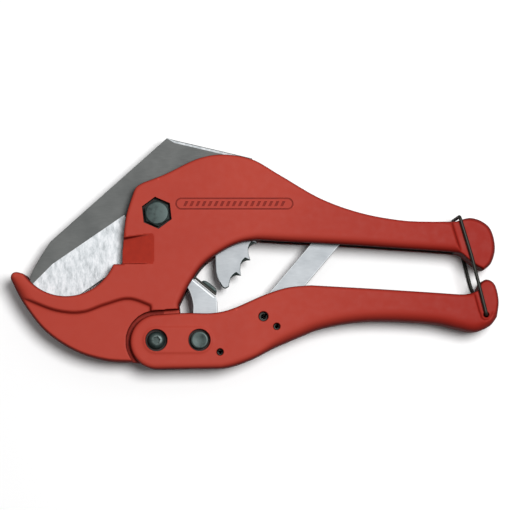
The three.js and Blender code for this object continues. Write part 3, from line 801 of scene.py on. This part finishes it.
def body_casting():
    piece = slab("body_shell", softened(body_outline()), -BODY_HALF, BODY_HALF, steps=6)
    slant_step(piece, hook_relief(), BODY_HALF, RELIEF_HALF)
    cheek = outline(
        arc(CHEEK, CHEEK_RADIUS, -75, -270),
        [(9, -41.2, 0), (22, -41.2, 0), (22, -72, 0), (3.6, -72, 0)],
    )
    cut_both_faces(piece, cheek, TONGUE_HALF)
    bulb = polygon((127.2, 2), (127, -4.5), (131.6, -20), (133, -30), (150, -30), (150, 2))
    slant_step(piece, bulb, BODY_HALF, RELIEF_HALF)
    cut(piece, slab("channel", upper_channel(), -CHANNEL_HALF, CHANNEL_HALF), sloped_pocket())
    cast(piece)
    cavity = outline(
        [(3.2, -28.5, 0), (3.2, -16, 0)],
        arc(HINGE, 39.7, 85, 45),
        [(21, -34, 0), (10.5, -34, 0)],
    )
    cut(piece, slab("cavity", cavity, -CHANNEL_HALF, CHANNEL_HALF))
    blade_slot(piece)
    mark_groove(piece)
    cut(piece, chamfered_bore("bore", HINGE, BUSH + CLEAR, TONGUE_HALF))
    cut(piece, bar("bore", PIVOT, BOLT + CLEAR, -BEYOND, BEYOND))
    cut(piece, slab("hex", hexagon(PIVOT, HEX_POCKET, BOLT_TURN), 5.6, BEYOND))
    rim, floor = 0.3, -4.6
    wide = WASHER_RECESS + rim
    recess = [(0, -BEYOND), (wide, -BEYOND), (wide, -BODY_HALF), (WASHER_RECESS, rim - BODY_HALF)]
    cut(piece, turned("recess", PIVOT, [*recess, (WASHER_RECESS, floor), (0, floor)]))
    # Painted shade inside the upper handle's channel and the washer recess
    paint_inside_shade(piece, upper_channel(), (PIVOT, wide + 0.1))
    paint_recess_shades(piece)
    settle(piece, "body", "body_casting")
    # The second to fourth finishes are painted shade
    dress(piece, "red_paint", RED, INSIDE_SHADE, GROOVE_AND_GAP_SHADE, POCKET_SHADE)


# ---- Moving handle ----

HANDLE_UNDERSIDE = [
    (27.8, -66.5), (33.3, -65.4), (41.6, -62.2), (49.8, -57.9), (60.6, -53.3), (70.1, -49.6),
    (84.3, -46.8), (100, -46.2), (118.9, -47.4),
]


def handle_outline():
    top = [(0.3, -43.5), (12, -42.9), (24, -42.9), (32.8, -40.9), (45.7, -35.3), (56, -32), (66, -31)]
    grip = [(66, -31), (91.4, -32.4), (118, -34.1), (130.4, -34.9), (134.6, -34.4), (137.8, -33.2)]
    knob = [(137.8, -33.2), (138.8, -30), (141.8, -28.3), (145.2, -30.6), (146.8, -37.5), (146, -44.4)]
    end = [(146, -44.4), (142.8, -48.4), (136.4, -50.9), (129, -49.6), (118.9, -47.4)]
    return outline(
        arc((0.3, -55.2), 11.7, -90, -270, 1.8),
        curve(top, CRISP),
        curve(grip, CRISP + 0.3),
        curve(knob, BROAD + 1),
        curve([*end, *HANDLE_UNDERSIDE[-2:2:-1]], BROAD + 1.2),
        curve(HANDLE_UNDERSIDE[3::-1], SOFT),
    )


def handle_channel():
    floor = [(x, y + WALL) for x, y in HANDLE_UNDERSIDE]
    return outline(
        [(-20, -20, 0), (-20, -80, 0), (13.4, -80, 0)],
        curve([(13.4, -62.9), *floor, (124, -45.2)]),
        [(126, -43, 0), (128, -20, 0)],
    )


def latch_step():
    """The handle's end is stepped down here, so that the latch wire lies flush and swings outwards."""
    return outline(
        [(134, -26, 0), (138.4, -42.5, 0)],
        arc(LATCH, 2.2, 170, 330),
        [(143.7, -42.9, 0), (145.7, -40.5, 0), (152, -40.5, 0), (152, -26, 0)],
    )


def screw_hole(pivot):
    """A drill for a pivot screw: a through hole, recessed for its nut behind and its head in front."""
    shaft, rim, floor = SCREW + CLEAR, 0.2, 0.1 - SEAT
    wide = HEAD_RECESS + rim
    back = [(0, -BEYOND), (NUT_RECESS, -BEYOND), (NUT_RECESS, floor), (shaft, floor)]
    front = [(shaft, SEAT), (HEAD_RECESS, SEAT), (HEAD_RECESS, BODY_HALF - rim)]
    mouth = [(wide, BODY_HALF), (wide, BEYOND), (0, BEYOND)]
    return turned("recess", pivot, back + front + mouth)


def moving_handle():
    piece = slab("handle_shell", softened(handle_outline()), -HANDLE_HALF, HANDLE_HALF, steps=6)
    combine(piece, slab("pad", stadium(HINGE, PAWL, 5.4), -BODY_HALF, BODY_HALF), "UNION")
    cut(piece, slab("channel", handle_channel(), -CHANNEL_HALF, CHANNEL_HALF))
    slant_step(piece, latch_step(), HANDLE_HALF, RELIEF_HALF, 0.8)
    cast(piece)
    cut(piece, screw_hole(HINGE), screw_hole(PAWL))
    for centre, radius in ((LEVER, LEVER_PIN), (SPRING_ANCHOR, SMALL_PIN), (PAWL_STOP, SMALL_PIN)):
        cut(piece, chamfered_bore("bore", centre, radius + CLEAR, HANDLE_HALF))
    cut(piece, chamfered_bore("bore", LATCH, WIRE_RADIUS + 0.45, RELIEF_HALF))
    # Painted shade inside the handle's channel and its nut recesses
    paint_inside_shade(piece, handle_channel(), (HINGE, NUT_RECESS + 0.1), (PAWL, NUT_RECESS + 0.1))
    settle(piece, "handle", "moving_handle")
    dress(piece, "red_paint", RED, INSIDE_SHADE)


# ---- Blade ----


def tail_teeth(small=0.15, deep=1.4):
    """Teeth that flare out to their tips and are undercut below them, where their edge is broken."""
    points = []
    for i in range(TOOTH_COUNT - 1):
        tip = FIRST_TOOTH - i * TOOTH_PITCH
        points += [
            (*polar(TAIL_TIP, tip), small),
            (*polar(TAIL_ROOT + 1.2, tip - 1.4), deep),
            (*polar(TAIL_ROOT + 0.4, tip - 2.7), 0.5 * deep),
            (*polar(TAIL_ROOT, tip - 4.6), small),
            (*polar(TAIL_ROOT + 1.1, tip - 7.6), small),
        ]
    last = FIRST_TOOTH - (TOOTH_COUNT - 1) * TOOTH_PITCH
    return points + [(*polar(TAIL_TIP - 0.8, last + 1), small)]


def blade_outline():
    small, chamfer, sharp = 0.15, 1.3, 0.05
    tail_end = [(29.3, -32), (28.3, -31.6), (26.8, -29.3), (25.3, -25), polar(TAIL_INSIDE, -35)]
    return outline(
        curve([(-46.5, -12), (3.9, 33.3)], small, step=4),
        curve([(3.9, 33.3), (40.8, 24.6)], chamfer, step=4),
        curve([(40.8, 24.6), (44.6, 12)], small, step=4),
        curve([(44.6, 12), (44.2, 4), polar(TAIL_ROOT, 0)], small),
        tail_teeth(),
        curve(tail_end, 0.4, step=0.6),
        arc(PIVOT, TAIL_INSIDE, -35, -4, 0.4),
        curve([polar(TAIL_INSIDE, -4), (19, -1.6), (12, -2.6), polar(10.5, -30)], small),
        arc(PIVOT, 10.5, -30, -82.7, small),
        curve([polar(10.5, -82.7), (-44.9, -42.3)], sharp, step=4),
        curve([(-44.9, -42.3), (-55, -30.2)], sharp, step=4),
        curve([(-55, -30.2), (-54.6, -26.4), (-52.4, -21.6), (-46.5, -12)], small),
    )


def ground_off(name, angle, start, width, near, far):
    """All that lies in front of a bevel's plane, which falls over `width` from a line at `angle`."""
    slope, reach = (BLADE_HALF - EDGE_HALF) / width, 60
    section = [
        (-start, BLADE_HALF), (reach - start, BLADE_HALF - slope * reach),
        (reach - start, BLADE_HALF + 3), (-start, BLADE_HALF + 3),
    ]
    turn = Matrix.Rotation(math.radians(angle - 90), 3, "Z")
    vertices = [turn @ Vector((x, -y, z)) for y in (near, far) for x, z in section]
    faces = [[0, 1, 2, 3], [7, 6, 5, 4]]
    faces += [[i, 4 + i, 4 + (i + 1) % 4, (i + 1) % 4] for i in range(4)]
    piece = piece_from(name, vertices, faces)
    tidy(piece)
    return piece


def bevel_cut(side):
    """The bevel on one face. It ends short of the pivot and turns to a steeper line at the tip."""
    end, past_tip = 12, 72
    piece = ground_off("bevel", EDGE_ANGLE, BEVEL_WIDTH - EDGE_OFFSET, BEVEL_WIDTH, end, past_tip)
    combine(piece, ground_off("tip", TIP_ANGLE, TIP_START, TIP_WIDTH, -40, 90), "INTERSECT")
    if side < 0:
        piece.data.transform(Matrix.Scale(-1, 4, (0, 0, 1)))
        piece.data.flip_normals()
    return piece


def split(piece, place, direction):
    """Divides the faces that a plane crosses."""
    work = bmesh.new()
    work.from_mesh(piece.data)
    everything = work.verts[:] + work.edges[:] + work.faces[:]
    bmesh.ops.bisect_plane(work, geom=everything, plane_co=place, plane_no=direction)
    work.to_mesh(piece.data)
    work.free()


def blade():
    piece = slab("blade_fine", blade_outline(), -BLADE_HALF, BLADE_HALF, steps=2)
    cut(piece, bevel_cut(1), bevel_cut(-1), bar("bore", PIVOT, BOLT + CLEAR, -BEYOND, BEYOND))
    tail_from = 14  # to the right of and below this the blade is its bright ratchet tail
    split(piece, (tail_from, 0, 0), (1, 0, 0))
    split(piece, (0, tail_from, 0), (0, 1, 0))
    for face in piece.data.polygons:
        level, (x, y, z) = abs(face.normal.z), face.center
        flat = level > 0.99
        ground = flat and abs(z) < BLADE_HALF - 0.003
        # Painted shade: the teeth's walls take the black finish
        shaded_tooth_wall = not flat and x > 26 and math.hypot(x, y) > TAIL_ROOT - 1.8
        back_edge = not flat and y > 20 and x > 3
        if ground:
            face.material_index = 1
        elif x > tail_from and y < tail_from:
            face.material_index = 3 if shaded_tooth_wall else 2
        elif back_edge:
            # Painted shade: the steep facet along the back edge takes the black finish
            face.material_index = 1 if level > 0.7 else 3
    settle(piece, "blade", "blade", sharp=20)
    dress(piece, "blade_steel", FLAT_STEEL, BEVEL_STEEL, BRIGHT_STEEL, BLACK_STEEL)


# ---- Pawl ----


def on_pawl_edge(t, up):
    """A point `t` down the pawl's slanted top edge from its nose, `up` above that edge."""
    start, angle = (9.9, -23.3), -38.9
    x, y = polar(t, angle, start)
    return polar(up, angle + 90, (x, y))


def pawl_outline():
    bright_edge, small, length = 1.1, 0.25, 19.4
    left = [(12.9, -54.5), (14.6, -48), (15.5, -42), (15.2, -37.5)]
    left += [(13.1, -31.9), (9.2, -28.6), (5.4, -26.2)]
    right = [on_pawl_edge(length, 0), (25.7, -37.2), (26, -43), (27.2, -50), (28.3, -54.6)]
    return outline(
        curve(left, 0.4),
        arc(NOSE, 2.6, 220, 47, small, step=12),
        curve([on_pawl_edge(0, 0), on_pawl_edge(length, 0)], bright_edge),
        curve(right, small),
        curve([(28.3, -54.6), (28, -56.2), (23.5, -56.3)], small),
        arc(PAWL, 5.5, -20, -180, small),
    )


def pawl():
    inside = 2.6
    for name, low, high in (("front", inside, TONGUE_HALF), ("rear", -TONGUE_HALF, -inside)):
        plate = slab(f"pawl_{name}", pawl_outline(), low, high, steps=3)
        cut(plate, bar("bore", PAWL, SCREW + CLEAR, -BEYOND, BEYOND))
        cut(plate, bar("bore", NOSE, NOSE_PIN + CLEAR, -BEYOND, BEYOND))
        for face in plate.data.polygons:
            x, y, _ = face.center
            on_top_edge = x - y > 32
            # Painted highlight on the rounding of the slanted top edge
            if on_top_edge and 0.3 < abs(face.normal.z) < 0.99:
                face.material_index = 1
        settle(plate, "pawl", f"pawl_plate_{name}")
        dress(plate, "bright_steel", BRIGHT_STEEL, EDGE_HIGHLIGHT)
    pin = turned("nose_pin_fine", NOSE, disc(NOSE_PIN, -TONGUE_HALF, TONGUE_HALF))
    settle(pin, "pawl", "pawl_nose_pin")
    dress(pin, "bright_steel", BRIGHT_STEEL)
    leaf_spring(inside)


def leaf_spring(inside):
    """A strip along the pawl's top edge that curls up at its nose, held down by a crowned clamp."""
    gap, curl, thickness, small = 0.3, 0.012, 0.9, 0.12
    stations = [19.2, 14, 9, 6, 3, 0, -2]
    lift = [gap + curl * max(0, 9 - t) ** 2 for t in stations]
    under = [on_pawl_edge(t, up) for t, up in zip(stations, lift)]
    over = [on_pawl_edge(t, up + thickness) for t, up in zip(stations, lift)]
    side = outline(curve(under, small), curve(over[::-1], small))
    strip = slab("leaf_fine", side, inside, TONGUE_HALF, steps=2)
    settle(strip, "pawl", "pawl_leaf_spring")
    dress(strip, "spring_wire", SPRING_WIRE)
    start, end, base, height, count = 10.8, 19, 1.22, 1.6, 16
    crown = []
    for k in range(count + 1):
        share = k / count
        rise = math.sqrt(max(0, 1 - abs(2 * share - 1) ** 3))
        crown.append((*on_pawl_edge(start + share * (end - start), base + height * rise), 0.5))
    clamp = slab("clamp_fine", outline(crown), inside, TONGUE_HALF, steps=4)
    settle(clamp, "pawl", "leaf_spring_clamp")
    dress(clamp, "black_steel", BLACK_STEEL)


# ---- Opening lever and its spring ----


def opening_lever():
    half = LEVER_WIDTH / 2
    end = (LEVER_LENGTH - half, 0)
    piece = slab("lever_fine", stadium(PIVOT, end, half, 0.35), -LEVER_HALF, LEVER_HALF, steps=3)
    cut(piece, bar("bore", PIVOT, LEVER_PIN + CLEAR, -BEYOND, BEYOND))
    for face in piece.data.polygons:
        # Painted highlight on the rounded edges
        face.material_index = 1 if 0.3 < abs(face.normal.z) < 0.99 else 0
    swing = Matrix.Translation((*LEVER, 0)) @ Matrix.Rotation(math.radians(LEVER_ANGLE), 4, "Z")
    settle(piece, "lever", "opening_lever", moved=swing)
    dress(piece, "bright_steel", BRIGHT_STEEL, EDGE_HIGHLIGHT)


def lever_spring():
    """A coil round the lever's pin between two straight legs, as one wire."""
    coil, low, pitch, turns, turned_by, count = 3.1, 2.4, 1.1, 2.15, -128, 160
    leg_from, leg_to = 0.12, 0.82  # shares of the wire where the coil starts and ends
    first_leg, last_leg = 8, 11
    path = []
    for i in range(count + 1):
        t = i / count
        share = min(max((t - leg_from) / (leg_to - leg_from), 0), 1)
        angle = math.radians(turned_by) + share * turns * 2 * math.pi
        run = 0
        if t < leg_from:
            run = (t - leg_from) / leg_from * first_leg
        elif t > leg_to:
            run = (t - leg_to) / (1 - leg_to) * last_leg
        x = LEVER[0] + coil * math.cos(angle) - run * math.sin(angle)
        y = LEVER[1] + coil * math.sin(angle) + run * math.cos(angle)
        path.append((x, y, low + pitch * turns * (1 - share)))
    piece = wire("lever_spring_fine", path, 0.42)
    settle(piece, "handle", "lever_spring")
    dress(piece, "spring_wire", SPRING_WIRE)


# ---- Latch ----


def bent(points, reach):
    """Straight stretches with each corner rounded over `reach` on both sides."""
    places = [Vector(p) for p in points]
    path = [places[0]]
    for before, corner, after in zip(places, places[1:], places[2:]):
        start = corner + (before - corner).normalized() * reach
        end = corner + (after - corner).normalized() * reach
        for k in range(9):
            t = k / 8
            path.append(start * (1 - t) ** 2 + corner * 2 * t * (1 - t) + end * t * t)
    return path + [places[-1]]


def latch_leg(top, side, share, bow):
    """From the handle's end to the upper handle, bowed sideways at `share` of the way up."""
    x = LATCH[0] + (top[0] - LATCH[0]) * share + bow
    y = LATCH[1] + (top[1] - LATCH[1]) * share
    level = side * WIRE_LEVEL
    return [(*LATCH, side * 3.4), (*LATCH, level), (x, y, level), (*top, level)]


def latch_wire():
    front = latch_leg(LATCH_FRONT, 1, 0.6, 0.5)
    back = latch_leg(LATCH_BACK, -1, 0.3, -1.1)
    piece = wire("latch_fine", bent(front + back[::-1], 1.6), WIRE_RADIUS)
    settle(piece, "latch", "latch_wire")
    dress(piece, "spring_wire", SPRING_WIRE)


# ---- Fasteners ----


def thread(radius, low, high, pitch=0.8, depth=0.3):
    """Profile points for thread crests between two heights, from the bottom up."""
    points = []
    count = int((high - low) / pitch)
    for i in range(count):
        z = low + i * pitch
        points += [(radius - depth, z), (radius, z + pitch / 2)]
    return points + [(radius - depth, low + count * pitch)]


def disc(radius, low, high, inset=0.2, drop=0.2):
    """Profile of a disc or a pin whose rims are bevelled."""
    small = radius - inset
    below = [(0, low), (small, low), (radius, low + drop)]
    return below + [(radius, high - drop), (small, high), (0, high)]


def blade_bolt():
    """A hexagon head whose corners are turned down, on a shank with thread at its end."""
    end, under_head, top = -9.5, 6, 9.7
    shank = [(0, end), (2.5, end), *thread(BOLT, -9.3, -3.5), (BOLT, -3.1), (BOLT, under_head)]
    head = [(6.5, under_head), (6.5, 8.4), (4.75, 9.55), (4.4, top), (0, top)]
    bolt = turned("blade_bolt_fine", PIVOT, shank + head)
    outside = slab("hex", hexagon(PIVOT, BOLT_HEAD, BOLT_TURN), under_head - 0.1, BEYOND)
    combine(outside, bar("shaft", PIVOT, BOLT + 0.05, -BEYOND, under_head + 0.2), "UNION")
    combine(bolt, outside, "INTERSECT")
    settle(bolt, "body", "blade_bolt")
    dress(bolt, "black_steel", BLACK_STEEL)


def hex_nut(name, centre, across, bore, low, high):
    corner = across / math.sqrt(3)
    turn = 12
    nut = turned(f"{name}_fine", centre, disc(corner, low, high, corner - across / 2, 0.5))
    combine(nut, slab("hex", hexagon(centre, across, turn), low - 1, high + 1), "INTERSECT")
    mouth = 0.4
    hole = [
        (0, low - 1), (bore + mouth, low - 1), (bore + mouth, low), (bore, low + mouth),
        (bore, high - mouth), (bore + mouth, high), (bore + mouth, high + 1), (0, high + 1),
    ]
    cut(nut, turned("bore", centre, hole))
    return nut


def nuts_and_washer():
    nut = hex_nut("blade_nut", PIVOT, BOLT_HEAD, BOLT + CLEAR, -9.6, -6.4)
    settle(nut, "body", "blade_nut")
    dress(nut, "black_steel", BLACK_STEEL)
    for name, centre in (("handle_pivot_nut", HINGE), ("pawl_pivot_nut", PAWL)):
        nut = hex_nut(name, centre, SCREW_NUT, SCREW + CLEAR, -9.5, -7.1)
        settle(nut, "handle", name)
        dress(nut, "black_steel", BLACK_STEEL)
    washer = turned("washer_fine", PIVOT, disc(2 * BOLT, -6.1, -4.9))
    cut(washer, bar("bore", PIVOT, BOLT + CLEAR, -BEYOND, BEYOND))
    settle(washer, "body", "blade_washer")
    dress(washer, "bright_steel", BRIGHT_STEEL)


def screw_shank():
    """Profile of a pivot screw up to the shoulder under its head, with thread at its end."""
    end, shoulder = -9.4, SEAT + 0.2
    threaded = [(0, end), (2.1, end), *thread(SCREW, -9.2, -4), (SCREW, -3.6)]
    return threaded + [(SCREW, shoulder), (SCREW_HEAD, shoulder)]


def pivot_screw():
    """A button-head screw with a hexagon socket."""
    dome = [(SCREW_HEAD, 8.1), (3.6, 8.55), (3.3, 8.95), (2.8, 9.28), (2.2, 9.5), (0, 9.5)]
    piece = turned("pivot_screw_fine", HINGE, screw_shank() + dome)
    key_size, key_turn, floor = 3, 10, 7.9
    cut(piece, slab("socket", hexagon(HINGE, key_size, key_turn), floor, BEYOND))
    settle(piece, "handle", "handle_pivot_screw")
    dress(piece, "black_steel", BLACK_STEEL)


def pawl_bolt():
    """A bolt with a flat round head, faintly dished in the middle."""
    head = [(SCREW_HEAD, 9), (3.6, 9.35), (3.3, 9.5), (2.9, 9.5), (1.6, 9.38), (0, 9.35)]
    piece = turned("pawl_bolt_fine", PAWL, screw_shank() + head)
    settle(piece, "handle", "pawl_pivot_bolt")
    dress(piece, "black_steel", BLACK_STEEL)


def spring_pins():
    """Slotted spring pins: sprung tubes with a slit along them."""
    half_slit, reach, hollow, small = 14, 6.2, 0.58, 0.12
    for node, centre, radius, slit in (
        ("pawl_stop_pin", PAWL_STOP, SMALL_PIN, 150),
        ("lever_pin", LEVER, LEVER_PIN, 40),
        ("spring_anchor_pin", SPRING_ANCHOR, SMALL_PIN, 80),
    ):
        tube = outline(
            arc(centre, radius, slit + half_slit, slit + 360 - half_slit, small, step=8),
            arc(centre, hollow * radius, slit + 360 - half_slit, slit + half_slit, small, step=12),
        )
        pin = slab(f"{node}_fine", tube, -reach, reach, steps=2)
        settle(pin, "handle", node)
        dress(pin, "black_steel", SPRING_WIRE)


def hidden_sleeves():
    """Bushes and the spacer lie inside the tool, where the CAD's shape is enough."""
    for node in ("handle_pivot_bush", "pawl_bush", "lever_spacer"):
        carried = frame["nodes"][node]
        carried.data.materials.clear()
        carried.data.materials.append(BRIGHT_STEEL)


body_casting()
moving_handle()
blade()
pawl()
opening_lever()
lever_spring()
latch_wire()
blade_bolt()
nuts_and_washer()
pivot_screw()
pawl_bolt()
spring_pins()
hidden_sleeves()
